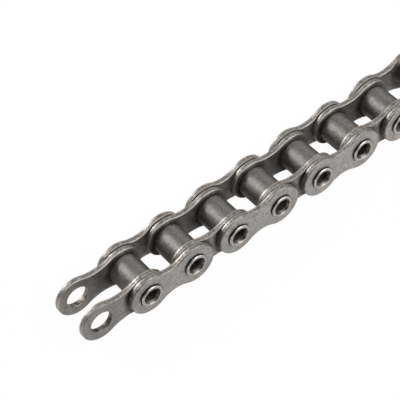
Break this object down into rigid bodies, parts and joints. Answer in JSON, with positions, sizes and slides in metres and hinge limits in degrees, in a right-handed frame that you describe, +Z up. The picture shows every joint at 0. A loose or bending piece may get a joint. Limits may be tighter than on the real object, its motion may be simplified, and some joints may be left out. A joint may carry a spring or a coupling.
{
  "type": "hollow pin roller chain",
  "caption": "Single strand roller chain with waisted figure-eight plates, loose rollers on bushes, and riveted hollow pins open right through.",
  "frame": {"origin": "centre of the bare end eye, midway between the front and back plates", "axes": "+X along the chain from the bare end, +Y across it along the pins, +Z up across the plates' height"},
  "size_m": [0.1121, 0.0148, 0.0106],
  "materials": {
    "inner_plates": "satin, tumbled, with sheared edges",
    "outer_plates": "satin, tumbled, with sheared edges",
    "bushes": "ground",
    "rollers": "satin, turned",
    "pins": "ground, with bright riveted ends"
  },
  "bodies": {
    "inner_link_1": {"inner_plate_1_front": "inner_plates", "inner_plate_1_back": "inner_plates", "bush_1": "bushes"},
    "roller_1": {"roller_1": "rollers"},
    "outer_link_1": {"outer_plate_1_front": "outer_plates", "outer_plate_1_back": "outer_plates", "pin_1": "pins", "pin_2": "pins"},
    "inner_link_2": {"inner_plate_2_front": "inner_plates", "inner_plate_2_back": "inner_plates", "bush_2": "bushes", "bush_3": "bushes"},
    "roller_2": {"roller_2": "rollers"},
    "roller_3": {"roller_3": "rollers"},
    "outer_link_2": {"outer_plate_2_front": "outer_plates", "outer_plate_2_back": "outer_plates", "pin_3": "pins", "pin_4": "pins"},
    "inner_link_3": {"inner_plate_3_front": "inner_plates", "inner_plate_3_back": "inner_plates", "bush_4": "bushes", "bush_5": "bushes"},
    "roller_4": {"roller_4": "rollers"},
    "roller_5": {"roller_5": "rollers"},
    "outer_link_3": {"outer_plate_3_front": "outer_plates", "outer_plate_3_back": "outer_plates", "pin_5": "pins", "pin_6": "pins"},
    "inner_link_4": {"inner_plate_4_front": "inner_plates", "inner_plate_4_back": "inner_plates", "bush_6": "bushes", "bush_7": "bushes"},
    "roller_6": {"roller_6": "rollers"},
    "roller_7": {"roller_7": "rollers"},
    "outer_link_4": {"outer_plate_4_front": "outer_plates", "outer_plate_4_back": "outer_plates", "pin_7": "pins", "pin_8": "pins"}
  },
  "joints": [
    {"name": "link_hinge_1", "type": "hinge", "parent": "inner_link_1", "child": "outer_link_1", "pos_m": [0.0127, 0, 0], "axis": [0, 1, 0], "range_deg": [-110, 110]},
    {"name": "link_hinge_2", "type": "hinge", "parent": "outer_link_1", "child": "inner_link_2", "pos_m": [0.0254, 0, 0], "axis": [0, -1, 0], "range_deg": [-110, 110]},
    {"name": "link_hinge_3", "type": "hinge", "parent": "inner_link_2", "child": "outer_link_2", "pos_m": [0.0381, 0, 0], "axis": [0, 1, 0], "range_deg": [-110, 110]},
    {"name": "link_hinge_4", "type": "hinge", "parent": "outer_link_2", "child": "inner_link_3", "pos_m": [0.0508, 0, 0], "axis": [0, -1, 0], "range_deg": [-110, 110]},
    {"name": "link_hinge_5", "type": "hinge", "parent": "inner_link_3", "child": "outer_link_3", "pos_m": [0.0635, 0, 0], "axis": [0, 1, 0], "range_deg": [-110, 110]},
    {"name": "link_hinge_6", "type": "hinge", "parent": "outer_link_3", "child": "inner_link_4", "pos_m": [0.0762, 0, 0], "axis": [0, -1, 0], "range_deg": [-110, 110]},
    {"name": "link_hinge_7", "type": "hinge", "parent": "inner_link_4", "child": "outer_link_4", "pos_m": [0.0889, 0, 0], "axis": [0, 1, 0], "range_deg": [-110, 110]},
    {"name": "roller_spin_1", "type": "hinge", "parent": "inner_link_1", "child": "roller_1", "pos_m": [0.0127, 0, 0], "axis": [0, 1, 0], "continuous": true},
    {"name": "roller_spin_2", "type": "hinge", "parent": "inner_link_2", "child": "roller_2", "pos_m": [0.0254, 0, 0], "axis": [0, 1, 0], "continuous": true},
    {"name": "roller_spin_3", "type": "hinge", "parent": "inner_link_2", "child": "roller_3", "pos_m": [0.0381, 0, 0], "axis": [0, 1, 0], "continuous": true},
    {"name": "roller_spin_4", "type": "hinge", "parent": "inner_link_3", "child": "roller_4", "pos_m": [0.0508, 0, 0], "axis": [0, 1, 0], "continuous": true},
    {"name": "roller_spin_5", "type": "hinge", "parent": "inner_link_3", "child": "roller_5", "pos_m": [0.0635, 0, 0], "axis": [0, 1, 0], "continuous": true},
    {"name": "roller_spin_6", "type": "hinge", "parent": "inner_link_4", "child": "roller_6", "pos_m": [0.0762, 0, 0], "axis": [0, 1, 0], "continuous": true},
    {"name": "roller_spin_7", "type": "hinge", "parent": "inner_link_4", "child": "roller_7", "pos_m": [0.0889, 0, 0], "axis": [0, 1, 0], "continuous": true}
  ]
}
